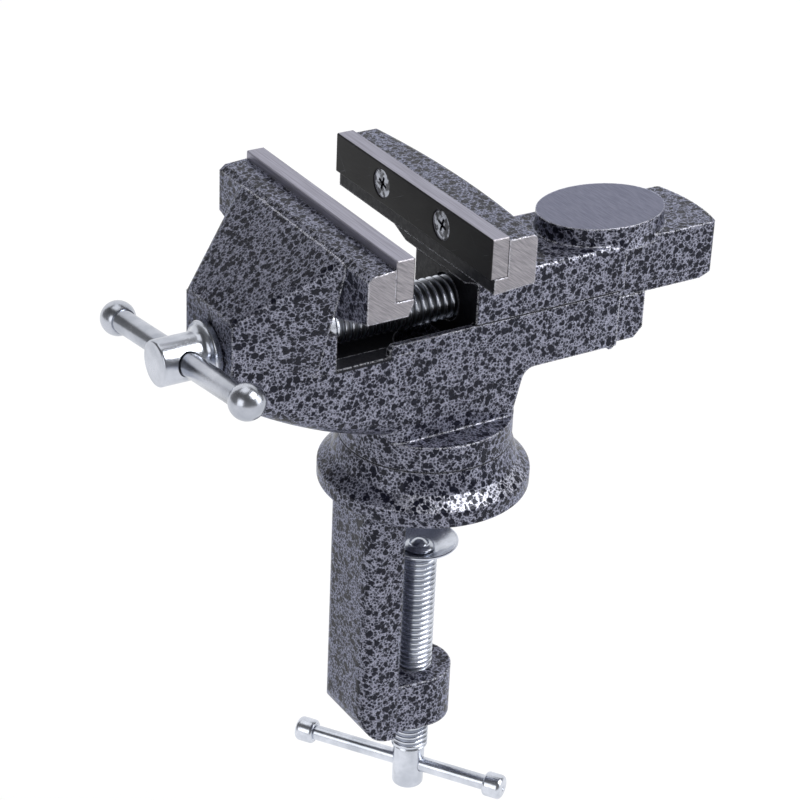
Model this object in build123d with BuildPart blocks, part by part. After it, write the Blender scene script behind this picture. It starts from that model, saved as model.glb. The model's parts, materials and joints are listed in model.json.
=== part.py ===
from build123d import *
import os
from math import cos, radians, sin, sqrt

# A clamp-on bench vise whose body swivels on its clamp, with its jaws part open. Millimetres.
# The origin is the centre of the flange's flat underside, which lies on the bench.
# +Z is up, +X runs along the lead screw from the handle to the anvil, and Y along the jaws.

os.makedirs("parts", exist_ok=True)

# Jaws and jaw plates
jaw_width = 70.0
jaw_opening = 20.3
plate_thickness = 4.75
plate_height = 10.1
plate_top = 80.5
plate_foot = plate_top - plate_height
plate_middle = plate_top - plate_height / 2
fixed_face_x = -27.5
moving_face_x = fixed_face_x + jaw_opening
fixed_seat_x = fixed_face_x - plate_thickness
moving_seat_x = moving_face_x + plate_thickness
plate_screw_spacing = 26.8
plate_screw_radius = 2.0
plate_head_radius = 3.4
plate_head_height = 2.0
plate_head_sink = 0.35
plate_screw_length = 10.5
fixed_back_x = -39.5
fixed_ledge_x = -28.8
fixed_bar_foot = 66.3
fixed_bar_top = 78.4
moving_ledge_x = -5.9
moving_back_x = 5.2
bar_bow = 2.4
moving_bar_foot = 66.5
moving_bar_top = 79.6
gusset_root = 59.9
gusset_start_x = 0.5

# Fixed jaw body
nose_x = -60.5
nose_half = 11.3
prow_foot = 49.5
nose_top = 60.6
ridge_half = 26.0
ridge_top = 77.5
wall_half = 14.0
trough_half = 9.0
trough_floor = 38.0
channel_foot = 32.0
ledge_height = 44.2
lip_inner = 12.4
lip_top = 46.9
lip_front_x = -20.0
lip_rear_x = 46.5
body_rear_x = 55.5
rear_half = 12.3
cheek_end_x = -34.5
cheek_top = 53.3
nose_taper = (wall_half - nose_half) / (fixed_back_x - nose_x)
chin_centre_x = -12.2
chin_centre_z = 76.2
chin_radius = 58.6
keel_centre_x = 18.0
keel_centre_z = 164.15
keel_radius = 148.0
belly_radius = 6.0
bead_x = 45.3
bead_radius = 1.3
bead_half = 13.2
neck_radius = 21.7
neck_corner = 5.0
neck_foot = 12.85
neck_ledge = 19.7
neck_end_x = 16.0
neck_lean = 3.2

# Lead screw and its T-handle
running_gap = 0.06
screw_height = 48.9
screw_radius = 5.5
screw_end_x = 51.0
hub_radius = 5.6
hub_end_x = -74.5
collar_radius = 7.7
collar_thickness = 1.6
collar_cone = 2.6
washer_radius = 8.0
washer_thickness = 1.2
pin_radius = 1.25
pin_half = 7.0
handle_x = -68.0
handle_tilt = 7.5
handle_radius = 2.85
handle_half = 32.4
handle_ball = 4.35

# Moving jaw: slide, saddle, anvil and nut
saddle_x = 4.0
saddle_end_x = 47.5
saddle_top = 59.3
slide_gap = 0.15
slide_half = lip_inner - slide_gap
tail_corner_x = 75.9
tail_end_x = 77.8
tongue_half = 8.85
tongue_foot = 38.4
tongue_end_x = 26.0
anvil_x = 48.7
anvil_half_length = 17.3
anvil_half_width = 13.3
anvil_top = 63.9
anvil_flare = 0.9
web_half = 13.5
nut_x = 8.5
nut_length = 12.0
nut_half = 7.2
cavity_half = 6.6
cavity_top = 55.6
cavity_end_x = 72.0

# Clamp, its screw and its pad
flange_radius = 26.7
flange_rim = 4.2
flange_ridge_radius = 23.4
flange_ridge_height = 7.4
flange_top = 12.8
column_outer_x = -21.3
column_inner_x = -10.6
column_half = 10.8
column_corner = 4.0
heel_radius = 9.0
boss_radius = 9.8
boss_top = -56.3
boss_foot = -70.5
clamp_screw_radius = 4.8
clamp_thread_foot = -82.0
clamp_hub_radius = 4.15
clamp_hub_foot = -94.7
clamp_bar_z = -88.2
clamp_bar_radius = 2.0
clamp_bar_turn = -55.3
clamp_bar_near = 24.8
clamp_bar_far = 30.0
knob_radius = 3.3
knob_half = 2.6
pad_radius = 10.0
pad_rim_top = -18.7
pad_floor = -22.4
pad_thickness = 1.2

# Pivot bolt, with its head in a counterbore of the trough floor
bolt_radius = 4.0
bolt_foot = 4.0
bolt_hole_foot = 3.5
counterbore_radius = 8.7
counterbore_floor = 27.4
spring_washer_thickness = 2.0
pivot_washer_thickness = 1.6
bolt_head_height = 5.5
bolt_head_flats = 13.0

screw_axis = Axis((0, 0, screw_height), (1, 0, 0))
handle_plane = Plane(
    origin=(handle_x, 0, screw_height),
    x_dir=(1, 0, 0),
    z_dir=(0, -cos(radians(handle_tilt)), sin(radians(handle_tilt))),
)
clamp_bar_plane = Plane(
    origin=(0, 0, clamp_bar_z),
    x_dir=(0, 0, 1),
    z_dir=(cos(radians(clamp_bar_turn)), sin(radians(clamp_bar_turn)), 0),
)


def save(part, name):
    """Labels a finished piece and writes it to parts."""
    part.label = name
    export_step(part, f"parts/{name}.step")


# Clamp frame: one casting from the swivel flange down the column to the threaded boss.
with BuildPart() as clamp_frame:
    with BuildSketch(Plane.XY.offset(boss_foot)) as column_plan:
        with BuildLine():
            Polyline(
                (column_inner_x, -column_half),
                (column_outer_x, -column_half),
                (column_outer_x, column_half),
                (column_inner_x, column_half),
                close=True,
            )
        make_face()
        fillet(column_plan.vertices().group_by(Axis.X)[0], column_corner)
        fillet(column_plan.vertices().group_by(Axis.X)[-1], 1.2)
    extrude(amount=flange_rim - boss_foot)
    with BuildSketch(Plane.XZ) as heel_side:
        with BuildLine():
            Polyline(
                (column_outer_x - 1, boss_foot - 1),
                (column_outer_x - 1, boss_foot + heel_radius),
                (column_outer_x, boss_foot + heel_radius),
            )
            RadiusArc(
                (column_outer_x, boss_foot + heel_radius),
                (column_outer_x + heel_radius, boss_foot),
                -heel_radius,
            )
            Polyline(
                (column_outer_x + heel_radius, boss_foot),
                (column_outer_x + heel_radius, boss_foot - 1),
                (column_outer_x - 1, boss_foot - 1),
            )
        make_face()
    extrude(amount=column_half + 1, both=True, mode=Mode.SUBTRACT)
    with BuildSketch(Plane.XY.offset(boss_foot)):
        with BuildLine():
            Polyline(
                (column_inner_x - 1, -8.6),
                (0, -boss_radius),
                (0, boss_radius),
                (column_inner_x - 1, 8.6),
                close=True,
            )
        make_face()
        Circle(boss_radius)
    extrude(amount=boss_top - boss_foot)
    with BuildSketch(Plane.XZ) as flange_section:
        with BuildLine():
            Polyline(
                (0, 0),
                (flange_radius, 0),
                (flange_radius, flange_rim),
                (flange_ridge_radius, flange_ridge_height),
                (neck_radius, flange_top),
                (0, flange_top),
                close=True,
            )
        make_face()
        fillet(flange_section.vertices().sort_by(Axis.X)[-3:], 0.7)
    revolve(axis=Axis.Z)
    with BuildSketch(Plane.XY.offset(bolt_hole_foot)):
        Circle(bolt_radius + running_gap)
    extrude(amount=flange_top, mode=Mode.SUBTRACT)
    with BuildSketch(Plane.XY.offset(boss_foot - 1)):
        Circle(clamp_screw_radius + running_gap)
    extrude(amount=boss_top - boss_foot + 2, mode=Mode.SUBTRACT)
save(clamp_frame.part, "clamp_frame")

# Pivot bolt, washer and spring washer.
washer_foot = counterbore_floor + 0.02
spring_washer_foot = washer_foot + pivot_washer_thickness
bolt_head_foot = spring_washer_foot + spring_washer_thickness

with BuildPart() as pivot_bolt:
    with BuildSketch(Plane.XY.offset(bolt_foot)):
        Circle(bolt_radius)
    extrude(amount=bolt_head_foot - bolt_foot)
    chamfer(pivot_bolt.edges().group_by(Axis.Z)[0], 0.8)
    with BuildSketch(Plane.XY.offset(bolt_head_foot)):
        RegularPolygon(bolt_head_flats / 2, 6, major_radius=False)
    extrude(amount=bolt_head_height)
save(pivot_bolt.part, "pivot_bolt")

with BuildPart() as pivot_washer:
    with BuildSketch(Plane.XY.offset(washer_foot)):
        Circle(counterbore_radius - 0.3)
        Circle(bolt_radius + 0.2, mode=Mode.SUBTRACT)
    extrude(amount=pivot_washer_thickness)
save(pivot_washer.part, "pivot_washer")

with BuildPart() as pivot_spring_washer:
    with BuildSketch(Plane.XY.offset(spring_washer_foot)):
        Circle(7.0)
        Circle(bolt_radius + 0.15, mode=Mode.SUBTRACT)
        with Locations((5.6, 0)):
            Rectangle(3.6, 0.7, rotation=25, mode=Mode.SUBTRACT)
    extrude(amount=spring_washer_thickness)
save(pivot_spring_washer.part, "pivot_spring_washer")

# Fixed jaw body: one casting of nose, wide jaw, slideway, neck and swivel disc.
with BuildPart() as fixed_jaw_body:
    # Hull of round-bottomed sections, as wide as the plan and as deep as the curved chin and keel.
    for station in (nose_x, -52, -44, -36, -28, -20, -12):
        hull_half = min(wall_half, nose_half + (station - nose_x) * nose_taper)
        chin = chin_centre_z - sqrt(chin_radius**2 - (station - chin_centre_x) ** 2)
        keel = keel_centre_z - sqrt(keel_radius**2 - (station - keel_centre_x) ** 2)
        keel = max(chin, keel)
        with BuildSketch(Plane.YZ.offset(station)) as hull_section:
            with Locations((0, (gusset_root + keel) / 2)):
                Rectangle(2 * hull_half, gusset_root - keel)
            fillet(hull_section.vertices().group_by(Axis.Y)[0], belly_radius)
    loft()
    with BuildSketch(Plane.XY.offset(ledge_height)):
        with Locations((fixed_back_x / 2, 0)):
            Rectangle(-fixed_back_x, 2 * wall_half + 2)
    extrude(amount=gusset_root - ledge_height + 1, mode=Mode.SUBTRACT)

    # Neck and slideway walls.
    with BuildSketch(Plane.XZ) as wall_side:
        with BuildLine():
            Polyline(
                (-12, neck_foot + 1),
                (neck_end_x - 3, neck_foot + 1),
                (neck_end_x, neck_ledge),
                (neck_end_x + neck_lean, channel_foot),
                (lip_rear_x, channel_foot),
                (lip_rear_x, ledge_height),
                (-12, ledge_height),
                close=True,
            )
        make_face()
        neck_root = wall_side.vertices().filter_by_position(Axis.X, 19, 20)
        fillet(neck_root, 3.5)
    extrude(amount=wall_half, both=True)
    with BuildSketch(Plane.XZ):
        with BuildLine():
            Polyline(
                (lip_rear_x - 1, channel_foot),
                (body_rear_x - 2.5, channel_foot),
                (body_rear_x, channel_foot + 2.5),
                (body_rear_x, ledge_height),
                (lip_rear_x - 1, ledge_height),
                close=True,
            )
        make_face()
    extrude(amount=rear_half, both=True)
    # Bead cast across the underside.
    with BuildSketch(Plane.XZ):
        with Locations((bead_x, channel_foot + 0.1)):
            Circle(bead_radius)
    extrude(amount=bead_half, both=True)

    # Swivel disc, and the round front of the neck, which rises from it into the hull.
    with BuildSketch(Plane.XY.offset(neck_foot)):
        Circle(neck_radius)
    extrude(amount=neck_ledge - neck_foot)
    with BuildSketch(Plane.XY.offset(neck_foot)) as neck_front:
        Circle(neck_radius)
        with Locations((-neck_radius / 2, 0)):
            Rectangle(neck_radius, 2 * wall_half, mode=Mode.INTERSECT)
        fillet(neck_front.vertices().group_by(Axis.X)[0], neck_corner)
    extrude(amount=channel_foot - neck_foot)

    # Prow that flares from the nose to the wide jaw, with its top edges rounded.
    with BuildSketch(Plane.YZ.offset(nose_x)) as prow_front:
        with BuildLine():
            Polyline(
                (-nose_half, prow_foot),
                (nose_half, prow_foot),
                (nose_half, nose_top),
                (-nose_half, nose_top),
                close=True,
            )
        make_face()
        fillet(prow_front.vertices().group_by(Axis.Y)[-1], 1.6)
    with BuildSketch(Plane.YZ.offset(fixed_back_x)) as prow_rear:
        with BuildLine():
            Polyline(
                (-wall_half, ledge_height),
                (wall_half, ledge_height),
                (ridge_half, ridge_top),
                (-ridge_half, ridge_top),
                close=True,
            )
        make_face()
        fillet(prow_rear.vertices().group_by(Axis.Y)[-1], 2.2)
    loft(ruled=True)

    # Jaw bar with a gusset under each wing.
    with BuildSketch(Plane.XZ) as fixed_bar_side:
        with BuildLine():
            Polyline(
                (fixed_back_x, fixed_bar_foot),
                (fixed_ledge_x, fixed_bar_foot),
                (fixed_face_x, plate_foot - 1.1),
                (fixed_face_x, plate_foot),
                (fixed_seat_x, plate_foot),
                (fixed_seat_x, fixed_bar_top),
                (fixed_back_x + 1.5, fixed_bar_top - 0.4),
                (fixed_back_x, fixed_bar_top - 1.6),
                close=True,
            )
        make_face()
    extrude(amount=jaw_width / 2, both=True)
    with BuildSketch(Plane.YZ.offset(fixed_back_x)):
        with BuildLine():
            Polyline(
                (-jaw_width / 2, fixed_bar_foot + 0.1),
                (-wall_half, gusset_root),
                (wall_half, gusset_root),
                (jaw_width / 2, fixed_bar_foot + 0.1),
                close=True,
            )
        make_face()
    extrude(amount=fixed_ledge_x - fixed_back_x)

    # Cheeks between the nose and the notch, and the lips of the slideway.
    with BuildSketch(Plane.XY.offset(ledge_height - 0.5)):
        with Locations(((fixed_back_x + cheek_end_x) / 2 - 0.5, 0)):
            Rectangle(cheek_end_x - fixed_back_x + 1, 2 * wall_half)
    extrude(amount=cheek_top - ledge_height + 0.5)
    with BuildSketch(Plane.XZ) as lip_side:
        with BuildLine():
            Polyline(
                (lip_front_x, ledge_height - 0.5),
                (lip_rear_x, ledge_height - 0.5),
                (lip_rear_x, lip_top),
                (lip_front_x + 1, lip_top),
                (lip_front_x, lip_top - 1),
                close=True,
            )
        make_face()
    extrude(amount=wall_half, both=True)
    with BuildSketch(Plane.XY.offset(ledge_height)):
        with BuildLine():
            Polyline(
                (lip_front_x - 1, -lip_inner),
                (body_rear_x + 1, -lip_inner),
                (body_rear_x + 1, lip_inner),
                (lip_front_x - 1, lip_inner),
                close=True,
            )
        make_face()
    extrude(amount=5, mode=Mode.SUBTRACT)

    # Trough for the screw, with the bolt's counterbore in its floor.
    with BuildSketch(Plane.XZ) as trough_side:
        with BuildLine():
            Polyline(
                (fixed_back_x, trough_floor),
                (body_rear_x + 1, trough_floor),
                (body_rear_x + 1, gusset_root),
                (fixed_back_x, gusset_root),
                close=True,
            )
        make_face()
    extrude(amount=trough_half, both=True, mode=Mode.SUBTRACT)
    with BuildSketch(Plane.YZ.offset(nose_x - 1)):
        with Locations((0, screw_height)):
            Circle(screw_radius + running_gap)
    extrude(amount=fixed_back_x - nose_x + 2, mode=Mode.SUBTRACT)
    with BuildSketch(Plane.XY.offset(neck_foot - 1)):
        Circle(bolt_radius + running_gap)
    extrude(amount=channel_foot, mode=Mode.SUBTRACT)
    with BuildSketch(Plane.XY.offset(counterbore_floor)):
        Circle(counterbore_radius)
    extrude(amount=trough_floor - counterbore_floor + 1, mode=Mode.SUBTRACT)

    # Threaded holes of the plate screws.
    with BuildSketch(Plane.YZ.offset(fixed_seat_x + 1)):
        with Locations((-plate_screw_spacing / 2, plate_middle), (plate_screw_spacing / 2, plate_middle)):
            Circle(plate_screw_radius + 0.02)
    extrude(amount=-7.6, mode=Mode.SUBTRACT)
save(fixed_jaw_body.part, "fixed_jaw_body")

# Bar of the moving jaw with a gusset under each wing, and a back that bows out in the middle.
with BuildPart() as moving_bar:
    with BuildSketch(Plane.XZ):
        with BuildLine():
            Polyline(
                (moving_ledge_x, moving_bar_foot),
                (moving_back_x + bar_bow + 1, moving_bar_foot + 1.2),
                (moving_back_x + bar_bow + 1, moving_bar_top),
                (moving_seat_x, moving_bar_top),
                (moving_seat_x, plate_foot),
                (moving_ledge_x, plate_foot),
                close=True,
            )
        make_face()
    extrude(amount=jaw_width / 2, both=True)
    with BuildSketch(Plane.YZ.offset(gusset_start_x)):
        with BuildLine():
            Polyline(
                (-jaw_width / 2, moving_bar_foot + 0.7),
                (-web_half, gusset_root - 1),
                (web_half, gusset_root - 1),
                (jaw_width / 2, moving_bar_foot + 0.7),
                close=True,
            )
        make_face()
    extrude(amount=moving_back_x + bar_bow + 1 - gusset_start_x)
    with BuildSketch(Plane.XY.offset(gusset_root - 2)):
        with BuildLine():
            Polyline(
                (moving_back_x, jaw_width / 2),
                (fixed_face_x, jaw_width / 2),
                (fixed_face_x, -jaw_width / 2),
                (moving_back_x, -jaw_width / 2),
            )
            ThreePointArc(
                (moving_back_x, -jaw_width / 2),
                (moving_back_x + bar_bow, 0),
                (moving_back_x, jaw_width / 2),
            )
        make_face()
    extrude(amount=moving_bar_top - gusset_root + 3, mode=Mode.INTERSECT)
    fillet(moving_bar.edges().group_by(Axis.Z)[-1].sort_by(Axis.X)[-1], 1.4)

# Moving jaw: one casting of slide, saddle, web, wide jaw, tail and anvil.
with BuildPart() as moving_jaw:
    with BuildSketch(Plane.XY.offset(ledge_height + slide_gap)) as slide_plan:
        with BuildLine():
            Polyline(
                (tail_corner_x, -slide_half),
                (saddle_x, -slide_half),
                (saddle_x, slide_half),
                (tail_corner_x, slide_half),
            )
            ThreePointArc((tail_corner_x, slide_half), (tail_end_x, 0), (tail_corner_x, -slide_half))
        make_face()
        fillet(slide_plan.vertices().group_by(Axis.X)[-1], 1.2)
    extrude(amount=saddle_top - ledge_height - slide_gap)
    with BuildSketch(Plane.XZ):
        with BuildLine():
            Polyline(
                (tail_corner_x - 3.8, ledge_height),
                (tail_end_x + 1, ledge_height),
                (tail_end_x + 1, ledge_height + 2.6),
                close=True,
            )
        make_face()
    extrude(amount=wall_half, both=True, mode=Mode.SUBTRACT)
    with BuildSketch(Plane.YZ.offset(saddle_x)) as saddle_section:
        with BuildLine():
            Polyline(
                (-wall_half, lip_top + slide_gap),
                (wall_half, lip_top + slide_gap),
                (wall_half, saddle_top),
                (-wall_half, saddle_top),
                close=True,
            )
        make_face()
        fillet(saddle_section.vertices().group_by(Axis.Y)[-1], 1.5)
    extrude(amount=saddle_end_x - saddle_x)
    with BuildSketch(Plane.XY.offset(tongue_foot)):
        with Locations(((saddle_x + tongue_end_x) / 2, 0)):
            Rectangle(tongue_end_x - saddle_x, 2 * tongue_half)
    extrude(amount=ledge_height - tongue_foot + 1)

    # Anvil: an oval block with a slight flare at its foot.
    with BuildSketch(Plane.XY.offset(saddle_top - 1.5)):
        with Locations((anvil_x, 0)):
            Ellipse(anvil_half_length + anvil_flare, anvil_half_width + anvil_flare)
    with BuildSketch(Plane.XY.offset(saddle_top + 1.2)):
        with Locations((anvil_x, 0)):
            Ellipse(anvil_half_length, anvil_half_width)
    loft()
    with BuildSketch(Plane.XY.offset(saddle_top + 1.2)):
        with Locations((anvil_x, 0)):
            Ellipse(anvil_half_length, anvil_half_width)
    extrude(amount=anvil_top - saddle_top - 1.2)

    # Jaw bar with its gussets, and the hollow-backed web behind it.
    add(moving_bar.part)
    with BuildSketch(Plane.XZ) as web_side:
        with BuildLine():
            Polyline(
                (20, saddle_top),
                (20, saddle_top - 2),
                (saddle_x, saddle_top - 2),
                (saddle_x - 3.5, moving_bar_foot + 1),
                (saddle_x - 3.5, moving_bar_top - 1),
                (moving_back_x + 1.6, moving_bar_top - 3),
            )
            ThreePointArc(
                (moving_back_x + 1.6, moving_bar_top - 3),
                (9.6, 65.6),
                (20, saddle_top),
            )
        make_face()
    extrude(amount=web_half, both=True)

    # Pocket for the nut, and the hollow that clears the screw.
    with BuildSketch(Plane.YZ.offset(nut_x)):
        with Locations((0, (tongue_foot + screw_height + nut_half) / 2 - 0.5)):
            Rectangle(2 * nut_half + 0.1, screw_height + nut_half - tongue_foot + 1.1)
    extrude(amount=nut_length + 0.1, mode=Mode.SUBTRACT)
    with BuildSketch(Plane.YZ.offset(saddle_x - 1)):
        with Locations((0, screw_height)):
            Circle(screw_radius + 0.5)
    extrude(amount=tongue_end_x - saddle_x, mode=Mode.SUBTRACT)
    with BuildSketch(Plane.XZ) as cavity_side:
        with BuildLine():
            Polyline(
                (nut_x + nut_length + 3, tongue_foot - 1),
                (cavity_end_x, tongue_foot - 1),
                (cavity_end_x, cavity_top),
                (nut_x + nut_length + 3, cavity_top),
                close=True,
            )
        make_face()
    extrude(amount=cavity_half, both=True, mode=Mode.SUBTRACT)

    # Threaded holes of the plate screws.
    with BuildSketch(Plane.YZ.offset(moving_seat_x - 1)):
        with Locations((-plate_screw_spacing / 2, plate_middle), (plate_screw_spacing / 2, plate_middle)):
            Circle(plate_screw_radius + 0.02)
    extrude(amount=7.6, mode=Mode.SUBTRACT)
save(moving_jaw.part, "moving_jaw")

with BuildPart() as lead_nut:
    with BuildSketch(Plane.YZ.offset(nut_x + 0.05)):
        with Locations((0, screw_height)):
            Rectangle(2 * nut_half, 2 * nut_half)
            Circle(screw_radius + running_gap, mode=Mode.SUBTRACT)
    extrude(amount=nut_length)
    chamfer(lead_nut.edges().filter_by(Axis.X), 0.8)
save(lead_nut.part, "lead_nut")

# Jaw plates: ground bars, each with two countersunk holes.
with BuildPart() as fixed_jaw_plate:
    with BuildSketch(Plane.YZ.offset(fixed_face_x)):
        with Locations((0, plate_middle)):
            Rectangle(jaw_width, plate_height)
    extrude(amount=-plate_thickness)
    chamfer(fixed_jaw_plate.edges(), 0.25)
    with Locations(
        Plane((fixed_face_x, -plate_screw_spacing / 2, plate_middle), z_dir=(1, 0, 0)),
        Plane((fixed_face_x, plate_screw_spacing / 2, plate_middle), z_dir=(1, 0, 0)),
    ):
        CounterSinkHole(plate_screw_radius + 0.2, plate_head_radius + 0.4, counter_sink_angle=70)
save(fixed_jaw_plate.part, "fixed_jaw_plate")

with BuildPart() as moving_jaw_plate:
    with BuildSketch(Plane.YZ.offset(moving_face_x)):
        with Locations((0, plate_middle)):
            Rectangle(jaw_width, plate_height)
    extrude(amount=plate_thickness)
    chamfer(moving_jaw_plate.edges(), 0.25)
    with Locations(
        Plane((moving_face_x, -plate_screw_spacing / 2, plate_middle), z_dir=(-1, 0, 0)),
        Plane((moving_face_x, plate_screw_spacing / 2, plate_middle), z_dir=(-1, 0, 0)),
    ):
        CounterSinkHole(plate_screw_radius + 0.2, plate_head_radius + 0.4, counter_sink_angle=70)
save(moving_jaw_plate.part, "moving_jaw_plate")


def plate_screws(face_x, into):
    """Two countersunk screws with cross recesses; into is -1 or 1 along X, into the jaw."""
    with BuildPart() as screws:
        for side in (-1, 1):
            head_plane = Plane(
                (face_x + into * plate_head_sink, side * plate_screw_spacing / 2, plate_middle),
                z_dir=(into, 0, 0),
            )
            with BuildSketch(head_plane):
                Circle(plate_head_radius)
            extrude(amount=plate_head_height, taper=35)
            with BuildSketch(head_plane):
                Circle(plate_screw_radius)
            extrude(amount=plate_screw_length)
            with BuildSketch(head_plane):
                Rectangle(3.6, 0.8, rotation=20)
                Rectangle(0.8, 3.6, rotation=20)
            extrude(amount=1.2, taper=8, mode=Mode.SUBTRACT)
    return screws.part


save(plate_screws(fixed_face_x, -1), "fixed_plate_screws")
save(plate_screws(moving_face_x, 1), "moving_plate_screws")

# Lead screw, turned with its hub and collar in one piece and drilled for bar and pin.
thrust_washer_x = fixed_back_x + 0.05
pin_x = thrust_washer_x + washer_thickness + pin_radius + 0.05

with BuildPart() as lead_screw:
    with BuildSketch(Plane.XZ):
        with BuildLine():
            Polyline(
                (hub_end_x, screw_height),
                (hub_end_x, screw_height + hub_radius - 0.7),
                (hub_end_x + 0.7, screw_height + hub_radius),
                (nose_x - collar_thickness - collar_cone, screw_height + hub_radius),
                (nose_x - collar_thickness, screw_height + collar_radius),
                (nose_x - 0.05, screw_height + collar_radius),
                (nose_x - 0.05, screw_height + screw_radius),
                (screw_end_x - 1, screw_height + screw_radius),
                (screw_end_x, screw_height + screw_radius - 1),
                (screw_end_x, screw_height),
                close=True,
            )
        make_face()
    revolve(axis=screw_axis)
    with BuildSketch(handle_plane.offset(-hub_radius - 1)):
        Circle(handle_radius + running_gap)
    extrude(amount=2 * hub_radius + 2, mode=Mode.SUBTRACT)
    with BuildSketch(Plane.XY.offset(screw_height - screw_radius - 1)):
        with Locations((pin_x, 0)):
            Circle(pin_radius + 0.02)
    extrude(amount=2 * screw_radius + 2, mode=Mode.SUBTRACT)
save(lead_screw.part, "lead_screw")

with BuildPart() as thrust_washer:
    with BuildSketch(Plane.YZ.offset(thrust_washer_x)):
        with Locations((0, screw_height)):
            Circle(washer_radius)
            Circle(screw_radius + 0.1, mode=Mode.SUBTRACT)
    extrude(amount=washer_thickness)
save(thrust_washer.part, "thrust_washer")

with BuildPart() as retaining_pin:
    with BuildSketch(Plane.XY.offset(screw_height - pin_half)):
        with Locations((pin_x, 0)):
            Circle(pin_radius)
    extrude(amount=2 * pin_half)
    chamfer(retaining_pin.edges().filter_by(GeomType.CIRCLE), 0.3)
save(retaining_pin.part, "retaining_pin")

# Sliding bars, each turned down to a spigot at both ends for a pressed-on ball or knob.
spigot_radius = 1.8
with BuildPart() as handle_bar:
    with BuildSketch(handle_plane.offset(-handle_half + 3.3)):
        Circle(handle_radius)
    extrude(amount=2 * handle_half - 6.6)
    with BuildSketch(handle_plane.offset(-handle_half - 2)):
        Circle(spigot_radius)
    extrude(amount=2 * handle_half + 4)
save(handle_bar.part, "handle_bar")


def bar_ball(end_plane, bore_from):
    """A ball centred on the end plane, faced and bored from the bar's side."""
    with BuildPart() as ball:
        with Locations(end_plane):
            Sphere(handle_ball)
        with BuildSketch(end_plane.offset(bore_from * 3.3)):
            Circle(handle_ball)
        extrude(amount=bore_from * handle_ball, mode=Mode.SUBTRACT)
        with BuildSketch(end_plane.offset(bore_from * handle_ball)):
            Circle(spigot_radius + 0.02)
        extrude(amount=-bore_from * (handle_ball + 2.1), mode=Mode.SUBTRACT)
    return ball.part


save(bar_ball(handle_plane.offset(handle_half), -1), "handle_ball_near")
save(bar_ball(handle_plane.offset(-handle_half), 1), "handle_ball_far")

# Clamp screw with its drilled hub and the swaged tip that carries the pad.
tip_neck_radius = 3.2
tip_radius = 4.0
tip_foot = pad_floor + pad_thickness + 0.05
with BuildPart() as clamp_screw:
    with BuildSketch(Plane.XZ):
        with BuildLine():
            Polyline(
                (0, clamp_hub_foot),
                (clamp_hub_radius - 0.6, clamp_hub_foot),
                (clamp_hub_radius, clamp_hub_foot + 0.6),
                (clamp_hub_radius, clamp_thread_foot),
                (clamp_screw_radius, clamp_thread_foot + 0.8),
                (clamp_screw_radius, pad_floor - 0.1),
                (tip_neck_radius, pad_floor - 0.1),
                (tip_neck_radius, tip_foot),
                (tip_radius, tip_foot),
                (tip_radius - 0.4, tip_foot + 1.2),
                (tip_radius - 1.8, tip_foot + 2.3),
                (0, tip_foot + 2.3),
                close=True,
            )
        make_face()
    revolve(axis=Axis.Z)
    with BuildSketch(clamp_bar_plane.offset(-clamp_hub_radius - 1)):
        Circle(clamp_bar_radius + running_gap)
    extrude(amount=2 * clamp_hub_radius + 2, mode=Mode.SUBTRACT)
save(clamp_screw.part, "clamp_screw")

with BuildPart() as pressure_pad:
    with BuildSketch(Plane.XZ):
        with BuildLine():
            Polyline(
                (tip_neck_radius + 0.1, pad_floor),
                (5.6, pad_floor),
                (pad_radius, pad_rim_top - 1.5),
                (pad_radius, pad_rim_top),
                (pad_radius - 1, pad_rim_top),
                (5.2, pad_floor + pad_thickness),
                (tip_neck_radius + 0.1, pad_floor + pad_thickness),
                close=True,
            )
        make_face()
    revolve(axis=Axis.Z)
save(pressure_pad.part, "pressure_pad")

clamp_spigot_radius = 1.3
with BuildPart() as clamp_handle_bar:
    with BuildSketch(clamp_bar_plane.offset(-clamp_bar_far + knob_half)):
        Circle(clamp_bar_radius)
    extrude(amount=clamp_bar_near + clamp_bar_far - 2 * knob_half)
    with BuildSketch(clamp_bar_plane.offset(-clamp_bar_far - 1.2)):
        Circle(clamp_spigot_radius)
    extrude(amount=clamp_bar_near + clamp_bar_far + 2.4)
save(clamp_handle_bar.part, "clamp_handle_bar")


def bar_knob(end_plane, bore_from):
    """A barrel-shaped knob centred on the end plane, bored from the bar's side."""
    with BuildPart() as knob:
        with BuildSketch(end_plane.offset(-knob_half)):
            Circle(knob_radius)
        extrude(amount=2 * knob_half)
        fillet(knob.edges().filter_by(GeomType.CIRCLE), 1.1)
        with BuildSketch(end_plane.offset(bore_from * (knob_half + 1))):
            Circle(clamp_spigot_radius + 0.02)
        extrude(amount=-bore_from * (knob_half + 2.3), mode=Mode.SUBTRACT)
    return knob.part


save(bar_knob(clamp_bar_plane.offset(clamp_bar_near), -1), "clamp_knob_near")
save(bar_knob(clamp_bar_plane.offset(-clamp_bar_far), 1), "clamp_knob_far")
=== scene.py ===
import json
import math

import bmesh
import bpy
import numpy as np
from bpy.props import FloatProperty, FloatVectorProperty, PointerProperty
from bpy.types import Operator, Panel, PropertyGroup
from mathutils import Matrix, Vector


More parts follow.
